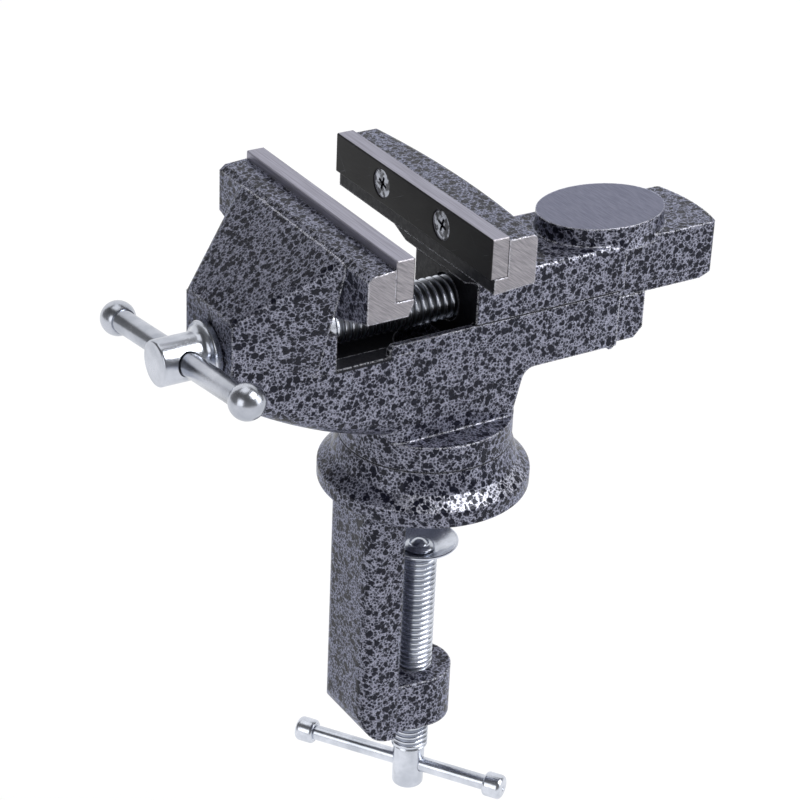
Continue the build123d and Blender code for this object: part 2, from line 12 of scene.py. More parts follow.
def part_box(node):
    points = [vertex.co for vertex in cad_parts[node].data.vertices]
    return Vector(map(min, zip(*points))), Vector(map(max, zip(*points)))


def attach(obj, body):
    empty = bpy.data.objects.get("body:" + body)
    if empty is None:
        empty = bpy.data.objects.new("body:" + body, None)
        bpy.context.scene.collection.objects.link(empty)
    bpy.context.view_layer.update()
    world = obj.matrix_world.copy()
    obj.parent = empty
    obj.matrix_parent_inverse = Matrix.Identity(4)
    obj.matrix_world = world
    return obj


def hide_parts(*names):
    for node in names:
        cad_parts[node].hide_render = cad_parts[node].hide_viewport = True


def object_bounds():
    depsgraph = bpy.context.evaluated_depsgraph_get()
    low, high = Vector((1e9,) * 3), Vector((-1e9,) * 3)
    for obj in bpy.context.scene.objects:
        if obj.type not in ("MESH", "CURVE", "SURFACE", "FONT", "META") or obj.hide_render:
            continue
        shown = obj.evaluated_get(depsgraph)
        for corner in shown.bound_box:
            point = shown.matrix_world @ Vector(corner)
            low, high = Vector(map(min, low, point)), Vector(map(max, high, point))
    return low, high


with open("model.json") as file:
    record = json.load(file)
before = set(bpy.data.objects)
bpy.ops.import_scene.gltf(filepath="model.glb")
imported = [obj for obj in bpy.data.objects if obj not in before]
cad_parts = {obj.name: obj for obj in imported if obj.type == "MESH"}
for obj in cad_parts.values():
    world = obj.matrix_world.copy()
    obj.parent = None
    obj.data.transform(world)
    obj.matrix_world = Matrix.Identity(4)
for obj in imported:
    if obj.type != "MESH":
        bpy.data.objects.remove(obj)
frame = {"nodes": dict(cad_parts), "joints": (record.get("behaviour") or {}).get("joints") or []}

bl_info = {
    "name": "Clamp-on swivel vise",
    "version": (1, 0, 0),
    "blender": (4, 5, 0),
    "location": "3D View > Sidebar > Vise",
    "description": "Dresses the vise's solids: hammertone castings, ground plates, threads and handles",
    "category": "Object",
}

cad_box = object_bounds()
nodes = frame["nodes"]
MM = 0.001
MERGE_GAP = 2e-6  # metres within which a surface's points are one
SLIVER = 1e-6  # metres under which an edge is dropped
SHARP = 34  # degrees from which an edge is shaded sharp
DRILL_REACH = 20.0 * MM
HALF_JAW = 35.0  # millimetres, like the limits of the masks
WHITE = (1.0, 1.0, 1.0, 1.0)


def middle(node, axis):
    """Middle of a node's box along one axis, in metres."""
    low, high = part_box(node)
    return (low[axis] + high[axis]) / 2


def centre_of(node):
    """Middle of a node's box, as a vector."""
    return Vector([middle(node, axis) for axis in range(3)])


def joint_axis(name):
    """Direction of one of the frame's joints."""
    return next(joint["axis"] for joint in frame["joints"] if joint["name"] == name)


# ------------------------------------------------------------------ shapes
def offsets(origin, *steps):
    """Profile points (along, out), given in millimetres from an origin in metres."""
    return np.array(steps, float) * MM + origin


def arc(centre, radius, start, end, count):
    """Profile points on a circle: centre plus radius times (cos, sin) of the angle, in degrees."""
    turn = np.radians(np.linspace(start, end, count))
    return np.column_stack((centre[0] + radius * np.cos(turn), centre[1] + radius * np.sin(turn)))


def placed(name, points, faces, place, sharp):
    """Mesh object of points and quads, put in place by a matrix, with doubles merged and faces turned outwards."""
    mesh = bpy.data.meshes.new(name)
    mesh.from_pydata(points.reshape(-1, 3).tolist(), [], faces.tolist())
    mesh.transform(place)
    work = bmesh.new()
    work.from_mesh(mesh)
    bmesh.ops.remove_doubles(work, verts=work.verts, dist=MERGE_GAP)
    bmesh.ops.dissolve_degenerate(work, dist=SLIVER, edges=work.edges)
    bmesh.ops.recalc_face_normals(work, faces=work.faces)
    work.to_mesh(mesh)
    work.free()
    mesh.shade_smooth()
    mesh.set_sharp_from_angle(angle=math.radians(sharp))
    piece = bpy.data.objects.new(name, mesh)
    bpy.context.scene.collection.objects.link(piece)
    return piece


def net(rows, columns, ring=False, closed=True):
    """Quads between neighbours in a grid of points. The rows wrap round if ring, and the columns if closed."""
    row, column = np.meshgrid(np.arange(rows - (not ring)), np.arange(columns - (not closed)), indexing="ij")
    next_row, next_column = (row + 1) % rows, (column + 1) % columns
    corners = (row * columns + column, row * columns + next_column)
    corners += (next_row * columns + next_column, next_row * columns + column)
    return np.stack(corners, -1).reshape(-1, 4)


def turned(name, profile, place, columns=72, ring=False, sharp=SHARP):
    """Surface of revolution: each profile point (along, out) becomes the circle (out cos, out sin, along)."""
    profile = np.asarray(profile, float)
    turn = np.linspace(0, 2 * np.pi, columns, endpoint=False)
    out, along = profile[:, 1:2], profile[:, 0:1]
    points = np.stack((out * np.cos(turn), out * np.sin(turn), along + 0 * turn), -1)
    return placed(name, points, net(len(profile), columns, ring), place, sharp)


def threaded(name, start, end, radius, pitch, depth, place, columns=56, narrow=1.0):
    """Screw thread: grid rows climb one pitch a turn, and the radius is the outer one less the depth times a
    rounded wave of the row's place within the pitch; a power narrows its roots, and it fades out at both ends."""
    steps, steepness, crest, sharp = 8, 1.25, 0.08, 40
    row = np.arange(int((end - start) / pitch * steps) + 2 * steps)[:, None]
    turn = np.arange(columns + 1)[None, :] / columns
    along = np.clip(start + pitch * (row / steps + turn - 1), start, end)
    wave = np.abs(2 * ((row / steps) % 1) - 1)
    wave = 1 - wave * wave * (3 - 2 * wave)
    wave = np.clip(wave * steepness - crest, 0, 1) ** narrow
    fade = np.clip((along - start) / pitch, 0, 1) * np.clip((end - along) / pitch, 0, 1)
    out = radius - depth * wave * fade
    spin = 2 * np.pi * turn
    body = np.stack((out * np.cos(spin), out * np.sin(spin), along), -1)
    foot, head = (np.tile((0.0, 0.0, level), (1, columns + 1, 1)) for level in (start, end))
    points = np.concatenate((foot, body, head), 0)
    return placed(name, points, net(len(points), columns + 1, closed=False), place, sharp)


def along_axis(origin, direction, side):
    """Matrix whose Z is the given direction and whose X is close to side."""
    z = Vector(direction).normalized()
    x = (Vector(side) - z * Vector(side).dot(z)).normalized()
    turn = Matrix((x, z.cross(x), z)).transposed()
    return Matrix.Translation(Vector(origin)) @ turn.to_4x4()


def bored(piece, place, radius):
    """Drills a round hole through the piece along a place's Z, and keeps the result as the piece's mesh."""
    rod = [(-DRILL_REACH, 0), (-DRILL_REACH, radius), (DRILL_REACH, radius), (DRILL_REACH, 0)]
    drill = turned("drill", rod, place, 48)
    cut = piece.modifiers.new("bore", "BOOLEAN")
    cut.operation = "DIFFERENCE"
    cut.solver = "EXACT"
    cut.object = drill
    bpy.context.view_layer.update()
    result = bpy.data.meshes.new_from_object(piece.evaluated_get(bpy.context.evaluated_depsgraph_get()))
    piece.modifiers.clear()
    piece.data = result
    result.set_sharp_from_angle(angle=math.radians(SHARP))
    bpy.data.objects.remove(drill)


def handle_place():
    """Place of the lead screw's sliding bar: through the bar's middle, along its own tilted line."""
    return along_axis(centre_of("handle_bar"), joint_axis("handle_slide"), (1, 0, 0))


def clamp_bar_place():
    """Place of the clamp's sliding bar: across the clamp screw, along the bar's own line."""
    origin = (0, 0, middle("clamp_handle_bar", 2))
    return along_axis(origin, joint_axis("clamp_handle_slide"), (0, 0, 1))


# ------------------------------------------------------------------ finishes
class Value:
    """A shader socket that Python's operators act on: each operator adds one Math node."""

    def __init__(self, finish, socket):
        self.finish = finish
        self.socket = socket

    def math(self, operation, *others):
        terms = dict(enumerate((self, *others)))
        return self.finish.node("ShaderNodeMath", {"operation": operation}, terms)

    def flipped(self, operation, other):
        return self.finish.node("ShaderNodeMath", {"operation": operation}, {0: other, 1: self})

    def __add__(self, other):
        return self.math("ADD", other)

    def __radd__(self, other):
        return self.flipped("ADD", other)

    def __sub__(self, other):
        return self.math("SUBTRACT", other)

    def __rsub__(self, other):
        return self.flipped("SUBTRACT", other)

    def __mul__(self, other):
        return self.math("MULTIPLY", other)

    def __rmul__(self, other):
        return self.flipped("MULTIPLY", other)

    def __truediv__(self, other):
        return self.math("DIVIDE", other)

    def __rtruediv__(self, other):
        return self.flipped("DIVIDE", other)

    def __pow__(self, other):
        return self.math("POWER", other)

    def __abs__(self):
        return self.math("ABSOLUTE")

    def most(self, other):
        return self.math("MAXIMUM", other)

    def rise(self, low, high):
        """0 below low, 1 above high, smooth between; low may be the larger, and it then falls."""
        ends = {0: self, 1: low, 2: high, 3: 0.0, 4: 1.0}
        return self.finish.node("ShaderNodeMapRange", {"interpolation_type": "SMOOTHSTEP"}, ends)

    def above(self, limit, blur):
        """1 above a limit and 0 below it, smooth over the blur's width. Both are in millimetres."""
        return self.rise((limit - blur / 2) * MM, (limit + blur / 2) * MM)

    def below(self, limit, blur):
        """1 below a limit and 0 above it, smooth over the blur's width. Both are in millimetres."""
        return self.rise((limit + blur / 2) * MM, (limit - blur / 2) * MM)


class Finish:
    """Nodes of one material or world, which are added by kind: settings first, then socket values or links."""

    def __init__(self, owner, coordinates="Object"):
        self.owner = owner
        owner.use_nodes = True
        self.tree = owner.node_tree
        self.tree.nodes.clear()
        self.place = self.node("ShaderNodeTexCoord", {}, {}, coordinates)
        self.x, self.y, self.z = self.parts(self.place)

    def node(self, kind, settings, sockets, out=0):
        """Any node: its settings, its sockets by key, and the output that comes back."""
        made = self.tree.nodes.new(kind)
        for key, value in settings.items():
            setattr(made, key, value)
        for key, value in sockets.items():
            if isinstance(value, Value):
                self.tree.links.new(value.socket, made.inputs[key])
            else:
                made.inputs[key].default_value = value
        return Value(self, made.outputs[out]) if len(made.outputs) else None

    def parts(self, vector):
        """The three components of a vector."""
        apart = self.tree.nodes.new("ShaderNodeSeparateXYZ")
        self.tree.links.new(vector.socket, apart.inputs[0])
        return [Value(self, output) for output in apart.outputs]

    def seen_by(self, *rays):
        """1 for the kinds of ray that are named, such as Camera, and 0 for all others."""
        path = self.tree.nodes.new("ShaderNodeLightPath")
        seen, *others = (Value(self, path.outputs[f"Is {ray} Ray"]) for ray in rays)
        for other in others:
            seen = seen.most(other)
        return seen

    def mix(self, share, first, second):
        """The first colour with a share of the second; either may be a link or three numbers."""
        first, second = (c if isinstance(c, Value) else (*c, 1.0) for c in (first, second))
        return self.node("ShaderNodeMix", {"data_type": "RGBA"}, {0: share, 6: first, 7: second}, 2)

    def vector(self, operation, first, second, out=0):
        """A Vector Math node; for SCALE the second is a number."""
        key = 3 if operation == "SCALE" else 1
        return self.node("ShaderNodeVectorMath", {"operation": operation}, {0: first, key: second}, out)

    def noise(self, scale, detail=2.0, rough=0.5, at=None, out=0):
        sockets = {"Vector": at or self.place, "Scale": scale, "Detail": detail, "Roughness": rough}
        return self.node("ShaderNodeTexNoise", {}, sockets, out)

    def cells(self, scale, feature, at=None, out=0):
        sockets = {"Vector": at or self.place, "Scale": scale}
        return self.node("ShaderNodeTexVoronoi", {"feature": feature}, sockets, out)

    def spots(self, scale, at, least, spread):
        """Round dark spots, one in each Voronoi cell: 1 within a radius that varies by spread from cell to cell."""
        soft_rim = 0.07
        chance = self.node("ShaderNodeSeparateColor", {}, {0: self.cells(scale, "F1", at, "Color")})
        gap = self.cells(scale, "F1", at) - chance * spread
        return gap.rise(least + soft_rim, least)

    def streaks(self, turn, scale, detail=3.0, rough=0.6):
        """Noise on coordinates that are turned by angles in degrees and then scaled axis by axis."""
        angles = tuple(math.radians(angle) for angle in turn)
        at = self.node("ShaderNodeMapping", {}, {"Vector": self.place, "Rotation": angles})
        at = self.node("ShaderNodeMapping", {}, {"Vector": at, "Scale": scale})
        return self.noise(1.0, detail, rough, at)

    def jittered(self, scale, amount):
        """Object coordinates pushed about by a colour noise, so that cell walls wander."""
        push = self.vector("SUBTRACT", self.noise(scale, out="Color"), (0.5, 0.5, 0.5))
        return self.vector("ADD", self.place, self.vector("SCALE", push, amount))

    def rounded(self, radius):
        """Normal of the surface with its edges rounded."""
        return self.node("ShaderNodeBevel", {"samples": 4}, {"Radius": radius})

    def bump(self, height, strength, distance, under=None):
        sockets = {"Height": height, "Strength": strength, "Distance": distance}
        if under:
            sockets["Normal"] = under
        return self.node("ShaderNodeBump", {}, sockets)

    def done(self, **sockets):
        """Ends the material in a Principled BSDF with these sockets."""
        named = {key.replace("_", " "): value for key, value in sockets.items()}
        shader = self.node("ShaderNodeBsdfPrincipled", {}, named)
        self.node("ShaderNodeOutputMaterial", {}, {"Surface": shader})
        return self.owner


def finish_named(name):
    """An empty material to fill."""
    return Finish(bpy.data.materials.new(name))


def distance(first, second):
    """Length of a vector with two components."""
    return (first * first + second * second) ** 0.5


def glints(paint, soft, dark):
    """Share of painted glints, a painted highlight: on cast edges, where the rounded normal leaves the flat one,
    and weaker on shoulders that look sideways and up."""
    flat = paint.node("ShaderNodeNewGeometry", {}, {}, "Normal")
    bent = 1 - paint.vector("DOT_PRODUCT", soft, flat, "Value")
    side, up = paint.parts(paint.node("ShaderNodeTexCoord", {}, {}, "Normal"))[1:]
    shoulder = abs(side).rise(0.38, 0.6) * up.rise(0.38, 0.6) * up.rise(0.94, 0.86)
    return bent.rise(0.03, 0.12).most(shoulder * (1 - dark) * 0.6)


def hammertone(name, looks, bare_mask, black_mask, seam_shade_mask):
    """Glossy hammered paint: round dark blobs about 2 mm wide, then a finer net of dark cells, in a paler metallic
    ground that is dimpled between them, with painted highlights as glints on edges and shoulders. The masks are
    functions of the finish, or None: ground metal in place of the paint, plain black paint, and painted contact
    shadow with some dirt in a joint line."""
    blob_scale, cell_scale, grain_scale, patch_scale = 560.0, 1200.0, 2300.0, 70.0
    paint = finish_named(name)
    wander = paint.jittered(900.0, 0.8 * MM)
    grain = paint.noise(grain_scale, 3.0, 0.6)
    patch = paint.noise(patch_scale)
    large = paint.spots(blob_scale, wander, 0.18, 0.34)
    small = paint.spots(cell_scale, wander, 0.20, 0.40)
    dark = large.most(small * (0.6 + 0.4 * patch))
    line = paint.cells(cell_scale, "DISTANCE_TO_EDGE", wander).rise(0.17, 0.03)
    bright = line * 0.5 + grain.rise(0.40, 0.74) * 0.5
    vein = paint.mix(bright, looks.paint_vein_deep, looks.paint_vein)
    cell = paint.mix(grain.rise(0.3, 0.7), looks.paint_cell_deep, looks.paint_cell)
    colour = paint.mix(dark, vein, cell)
    roughness = 0.30 + 0.16 * grain - 0.10 * dark
    metallic = 0.6 - 0.6 * dark
    height = (1 - large * 0.7) * 0.6 + (1 - small) * 0.3 + grain * 0.1
    if black_mask:
        black = black_mask(paint)
        colour = paint.mix(black, colour, looks.black_paint_and_shade)
        roughness = roughness + black * (0.12 + 0.1 * paint.noise(300.0))
        metallic = metallic * (1 - black)
        height = height * (1 - black * 0.85)
    if bare_mask:
        bare = bare_mask(paint)
        lines = paint.streaks((0.0, -38.0, 0.0), (260.0, 260.0, 5200.0))
        scratched = lines.rise(0.25, 0.75)
        steel = paint.mix(scratched, looks.ground_deep, looks.ground_steel)
        anvil = paint.mix(scratched, looks.anvil_deep, looks.anvil)
        colour = paint.mix(bare, colour, paint.mix(paint.x.above(22.0, 4.0), steel, anvil))
        roughness = roughness * (1 - bare) + bare * (0.34 + 0.14 * lines)
        height = height * (1 - bare) + bare * lines * 0.12
        metallic = metallic * (1 - bare) + bare * 0.9
    soft = paint.rounded(looks.edge_round)
    # painted highlight: the glint colour is laid on cast edges and on shoulders that face sideways and up
    colour = paint.mix(glints(paint, soft, dark) * grain.rise(0.44, 0.54), colour, looks.painted_glint)
    if seam_shade_mask:
        # painted contact shadow, with some dirt, darkens the joint line towards black
        seam = seam_shade_mask(paint)
        colour = paint.mix(seam * 0.9, colour, looks.black_paint_and_shade)
        roughness = roughness + seam * 0.3
        metallic = metallic * (1 - seam)
    return paint.done(
        Base_Color=colour,
        Roughness=roughness,
        Normal=paint.bump(height, 0.7, 0.3 * MM, soft),
        Metallic=metallic,
        Specular_IOR_Level=0.16,
        Specular_Tint=(0.72, 0.78, 1.0, 1.0),
        Coat_Weight=0.13,
        Coat_Roughness=0.07,
    )


def zinc(name, looks, centre=None, outer=0.0, depth=0.0, axis="x", dirt=0.75, shade=0.0, stain=0.0):
    """Zinc plate: faintly blue, with cloudy roughness, fine turning lines and, round a centre, dirt in the roots of
    a thread. shade is the share of painted shade all over, a darker tone that makes a shaded copy of the plate, and
    stain the depth of its dark patches."""
    plate = finish_named(name)
    cloud = plate.noise(130.0, 3.0, 0.55)
    fine = plate.noise(2600.0)
    tone = plate.mix(cloud.rise(0.3, 0.7), looks.zinc_deep, looks.zinc)
    if shade:
        # painted shade: a darker tone mixed in all over, so that this piece is a shaded copy of the zinc
        tone = plate.mix(shade, tone, looks.zinc_painted_shade)
    roughness = 0.16 + 0.12 * cloud + 0.06 * fine
    if stain:
        patch = plate.noise(620.0, 3.0, 0.6).rise(0.46, 0.58)
        tone = plate.mix(patch * stain, tone, looks.thread_dirt)
        roughness = roughness + patch * 0.15
    if centre:
        across, up = (plate.y, plate.z) if axis == "x" else (plate.x, plate.y)
        out = distance(across - centre[0], up - centre[1])
        root = out.rise(outer - depth * 0.25, outer - depth * 0.95) * out.rise(outer - 2 * depth, outer - depth)
        tone = plate.mix(root * dirt, tone, looks.thread_dirt)
        roughness = roughness + root * 0.2
    normal = plate.bump(fine + cloud * 0.5, 0.12, 0.05 * MM)
    return plate.done(Base_Color=tone, Roughness=roughness, Metallic=1.0, Normal=normal)


def ground(name, looks, face_x, side, screws):
    """Ground jaw plate: grey satin top, bright scratched ends and a blackened gripping face with stray scratches, with
    a dark joint round each screw deepened as painted shade in the countersink. The face lies at face_x, side is the
    sign of the way into the plate, and screws is the place (y, z) of a screw."""
    steel = finish_named(name)
    lines = steel.streaks((0.0, -35.0, 0.0), (300.0, 300.0, 5000.0))
    length = steel.streaks((0.0, 0.0, 0.0), (3500.0, 60.0, 3500.0))
    cloud = steel.noise(90.0, 3.0, 0.6)
    top = steel.mix(length.rise(0.3, 0.7), looks.plate_top_deep, looks.plate_top)
    end = abs(steel.y).above(HALF_JAW - 0.25, 0.2)
    bright = steel.mix(lines.rise(0.25, 0.75), looks.ground_deep, looks.ground_steel)
    grip = ((steel.x - face_x) * side).below(0.275, 0.15)
    scratch = steel.streaks((28.0, 0.0, 0.0), (60.0, 60.0, 2600.0), 2.0, 0.7)
    other = steel.streaks((-48.0, 0.0, 0.0), (60.0, 45.0, 1900.0), 2.0, 0.7)
    mark = scratch.rise(0.66, 0.73).most(other.rise(0.68, 0.75)) * cloud.rise(0.42, 0.6)
    black = steel.mix(mark * 0.5, looks.plate_black, looks.plate_top_deep)
    # painted shade: dark ring in the countersink gap round each screw head, on top of the dark joint
    ring = distance(abs(steel.y) - screws[0], steel.z - screws[1]).below(3.95, 0.3) * grip
    colour = steel.mix(grip, steel.mix(end, top, bright), black)
    colour = steel.mix(ring, colour, looks.black_paint_and_shade)
    roughness = 0.30 + 0.14 * lines + 0.1 * cloud + 0.12 * grip
    metallic = (0.85 - grip * 0.75 * (1 - mark)) * (1 - ring)
    relief = lines * end + length * (1 - end) * 0.6
    normal = steel.bump(relief, 0.16, 0.06 * MM, steel.rounded(0.25 * MM))
    return steel.done(Base_Color=colour, Roughness=roughness, Metallic=metallic, Normal=normal, Specular_IOR_Level=0.3)


def oiled(name, looks):
    """Plain oiled steel for the nut."""
    steel = finish_named(name)
    cloud = steel.noise(160.0, 4.0, 0.6)
    tone = steel.mix(cloud.rise(0.35, 0.65), looks.nut_deep, looks.nut)
    normal = steel.bump(steel.noise(1800.0), 0.2, 0.06 * MM)
    return steel.done(Base_Color=tone, Roughness=0.3 + 0.2 * cloud, Metallic=0.9, Normal=normal)


def dress(node, material):
    """Gives a carried-over solid its material."""
    nodes[node].data.materials.clear()
    nodes[node].data.materials.append(material)


def fit(piece, body, material, slot, *stood_for):
    """Gives a new piece its material and its body, and hides the solids that it stands for; slot is not used."""
    piece.data.materials.clear()
    piece.data.materials.append(material)
    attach(piece, body)
    if stood_for:
        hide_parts(*stood_for)


# ------------------------------------------------------------------ settings
def shade_of(name, words, default):
    """A colour property, in linear light."""
    return FloatVectorProperty(name=name, description=words, default=default, subtype="COLOR", min=0, max=1)


def length_of(name, words, default):
    """A length property, in metres."""
    return FloatProperty(name=name, description=words, default=default, unit="LENGTH", precision=5)


def power_of(name, words, default):
    """A lamp's power, in watts."""
    return FloatProperty(name=name, description=words, default=default, unit="POWER")


class ViseLooks(PropertyGroup):
    """Colours of the finishes."""

    paint_vein: shade_of("Paint net", "Pale net between the paint's cells", (0.46, 0.47, 0.59))
    paint_vein_deep: shade_of("Paint net, deep", "Darker parts of the net", (0.034, 0.036, 0.052))
    paint_cell: shade_of("Paint cell", "Dark cells of the paint", (0.008, 0.009, 0.019))
    paint_cell_deep: shade_of("Paint cell, deep", "Darkest parts of the cells", (0.002, 0.002, 0.006))
    # painted highlight: colour of the glints on edges and shoulders
    painted_glint: shade_of("Paint edge", "Glints along sharp cast edges", (0.80, 0.81, 0.90))
    # black paint of the slideway, and also the colour of painted shade in joint lines and round the plate screws
    black_paint_and_shade: shade_of("Trough black", "Plain paint inside the slideway", (0.006, 0.006, 0.008))
    ground_steel: shade_of("Ground steel", "Bright ground end faces", (0.42, 0.40, 0.43))
    ground_deep: shade_of("Ground steel, deep", "Grooves of the grinding", (0.20, 0.195, 0.215))
    anvil: shade_of("Anvil face", "Grey face of the anvil", (0.25, 0.25, 0.305))
    anvil_deep: shade_of("Anvil face, deep", "Grooves of the anvil's grinding", (0.15, 0.15, 0.19))
    plate_top: shade_of("Plate top", "Grey tops of the jaw plates", (0.42, 0.415, 0.50))
    plate_top_deep: shade_of("Plate top, deep", "Darker streaks of the tops", (0.28, 0.275, 0.335))
    plate_black: shade_of("Plate black", "Gripping face", (0.007, 0.007, 0.009))
    zinc: shade_of("Zinc", "Bright zinc plate", (0.74, 0.77, 0.85))
    zinc_deep: shade_of("Zinc, deep", "Cloudy parts of the plate", (0.52, 0.55, 0.62))
    # painted shade: darker zinc tone for shaded copies of the plate
    zinc_painted_shade: shade_of("Zinc, dull", "Handled and shaded parts of the plate", (0.20, 0.21, 0.25))
    thread_dirt: shade_of("Thread dirt", "Oil and dirt in the thread's roots", (0.045, 0.045, 0.05))
    nut: shade_of("Nut", "Oiled steel", (0.22, 0.21, 0.20))
    nut_deep: shade_of("Nut, deep", "Darker patches", (0.09, 0.085, 0.08))
    edge_round: length_of("Cast edge", "Radius that softens the castings' edges", 0.0007)


class ViseScrews(PropertyGroup):
    """Sizes of the screws and handles."""

    lead_radius: length_of("Lead screw radius", "Outer radius of the lead screw's thread", 0.0055)
    lead_pitch: length_of("Lead screw pitch", "Travel in one turn", 0.0020)
    lead_depth: length_of("Lead thread depth", "Depth of the lead screw's thread", 0.0010)
    clamp_radius: length_of("Clamp screw radius", "Outer radius of the clamp screw's thread", 0.0048)
    clamp_pitch: length_of("Clamp screw pitch", "Travel in one turn", 0.0015)
    clamp_depth: length_of("Clamp thread depth", "Depth of the clamp screw's thread", 0.00075)
    hub_radius: length_of("Hub radius", "Radius of the lead screw's hub", 0.0056)
    collar_radius: length_of("Collar radius", "Radius of the lead screw's collar", 0.0077)
    clamp_hub_radius: length_of("Clamp hub radius", "Radius of the clamp screw's hub", 0.00415)
    bar_radius: length_of("Handle bar radius", "Radius of the lead screw's sliding bar", 0.00285)
    ball_radius: length_of("Handle ball radius", "Radius of the bar's ball ends", 0.00435)
    clamp_bar_radius: length_of("Clamp bar radius", "Radius of the clamp's sliding bar", 0.0020)
    knob_radius: length_of("Clamp knob radius", "Radius of the clamp bar's knobs", 0.0033)


class ViseStage(PropertyGroup):
    """Floor, backdrop and light."""

    drop: length_of("Floor gap", "Gap under the clamp, deep enough for its whole travel", 0.040)
    pale: shade_of("Stage colour", "Colour of floor and backdrop", (0.92, 0.92, 0.93))
    key: power_of("Right lamp", "Power of the right lamp", 6.5)
    fill: power_of("Left lamp", "Power of the left lamp", 3.5)
    top: power_of("Top lamp", "Power of the top lamp", 3.0)
    front: power_of("Front lamp", "Power of the front lamp", 13.0)
    sky: FloatProperty(name="Sky", description="Strength of the sky near the horizon", default=0.28)
    zenith: FloatProperty(name="Zenith", description="Strength of the sky overhead", default=0.12)


# ------------------------------------------------------------------ pieces
class VISE_OT_castings(Operator):
    """Paints the three castings, with bare ground ends, anvil face, black slideway and painted contact shadow with
    some dirt in the joint lines
    """

    bl_idname = "vise.castings"
    bl_label = "Castings"

    def execute(self, context):
        looks = context.scene.vise_looks
        dress("clamp_frame", hammertone("clamp_paint", looks, None, None, self.flange_contact_shade))
        dress("fixed_jaw_body", hammertone("body_paint", looks, self.ends, self.trough, self.body_contact_shade))
        dress("moving_jaw", hammertone("jaw_paint", looks, self.jaw_bare, self.jaw_black, self.jaw_contact_shade))
        return {"FINISHED"}

    @staticmethod
    def ends(paint):
        """Ground ends of a jaw bar."""
        return abs(paint.y).above(HALF_JAW - 0.055, 0.05)

    @staticmethod
    def trough(paint):
        """Inside faces of the slideway behind the nose, and the notch's ledges, under the jaw bar."""
        half_width = 0.0124 - 0.003 * paint.x.above(46.2, 0.4)
        inside = (half_width - abs(paint.y)).above(0.025, 0.05)
        slideway = inside * paint.z.above(37.6, 0.4) * paint.x.below(56.5, 1.0)
        ledge = paint.z.above(43.2, 0.4) * paint.x.below(-19.3, 1.0) * paint.x.above(-34.55, 0.3)
        return slideway.most(ledge) * paint.z.below(59.8, 0.4) * paint.x.above(-39.5, 0.2)

    def jaw_bare(self, paint):
        """Ground ends of the bar and the anvil's face."""
        anvil = paint.z.above(63.845, 0.05) * paint.z.below(64.75, 0.5) * paint.x.above(25.0, 2.0)
        return self.ends(paint).most(anvil)

    @staticmethod
    def jaw_black(paint):
        """Front faces under the moving plate."""
        return paint.x.below(4.4, 0.4) * paint.z.below(78.75, 0.5)

    @staticmethod
    def flange_contact_shade(paint):
        """Rim of the flange's top, under the neck disc: painted contact shadow with some dirt."""
        return paint.z.above(12.65, 0.2)

    @staticmethod
    def body_contact_shade(paint):
        """Foot of the neck disc, and the top of the walls under the saddle: painted contact shadow with some dirt."""
        walls = paint.z.above(46.78, 0.12) * paint.z.below(47.1, 0.2) * paint.x.above(3.8, 0.4)
        return paint.z.below(13.05, 0.2).most(walls)

    @staticmethod
    def jaw_contact_shade(paint):
        """Foot of the saddle and of the slide: painted contact shadow with some dirt."""
        return paint.z.above(46.95, 0.1) * paint.z.below(47.21, 0.18) * paint.x.above(4.0, 0.2)


class VISE_OT_plates(Operator):
    """Finishes the two jaw plates and their screws"""

    bl_idname = "vise.plates"
    bl_label = "Jaw plates"

    def execute(self, context):
        looks = context.scene.vise_looks
        head_radius = 3.4 * MM
        low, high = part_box("moving_plate_screws")
        screws = ((high[1] - low[1]) / 2 - head_radius, (low[2] + high[2]) / 2)
        fixed_face, moving_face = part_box("fixed_jaw_plate")[1][0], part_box("moving_jaw_plate")[0][0]
        dress("fixed_jaw_plate", ground("fixed_plate_steel", looks, fixed_face, -1.0, screws))
        dress("moving_jaw_plate", ground("moving_plate_steel", looks, moving_face, 1.0, screws))
        # painted shade darkens the screw heads' zinc, and stain adds dark patches
        stained_and_shaded = zinc("plate_screw_zinc", looks, shade=0.6, stain=0.9)
        dress("fixed_plate_screws", stained_and_shaded)
        dress("moving_plate_screws", stained_and_shaded)
        return {"FINISHED"}


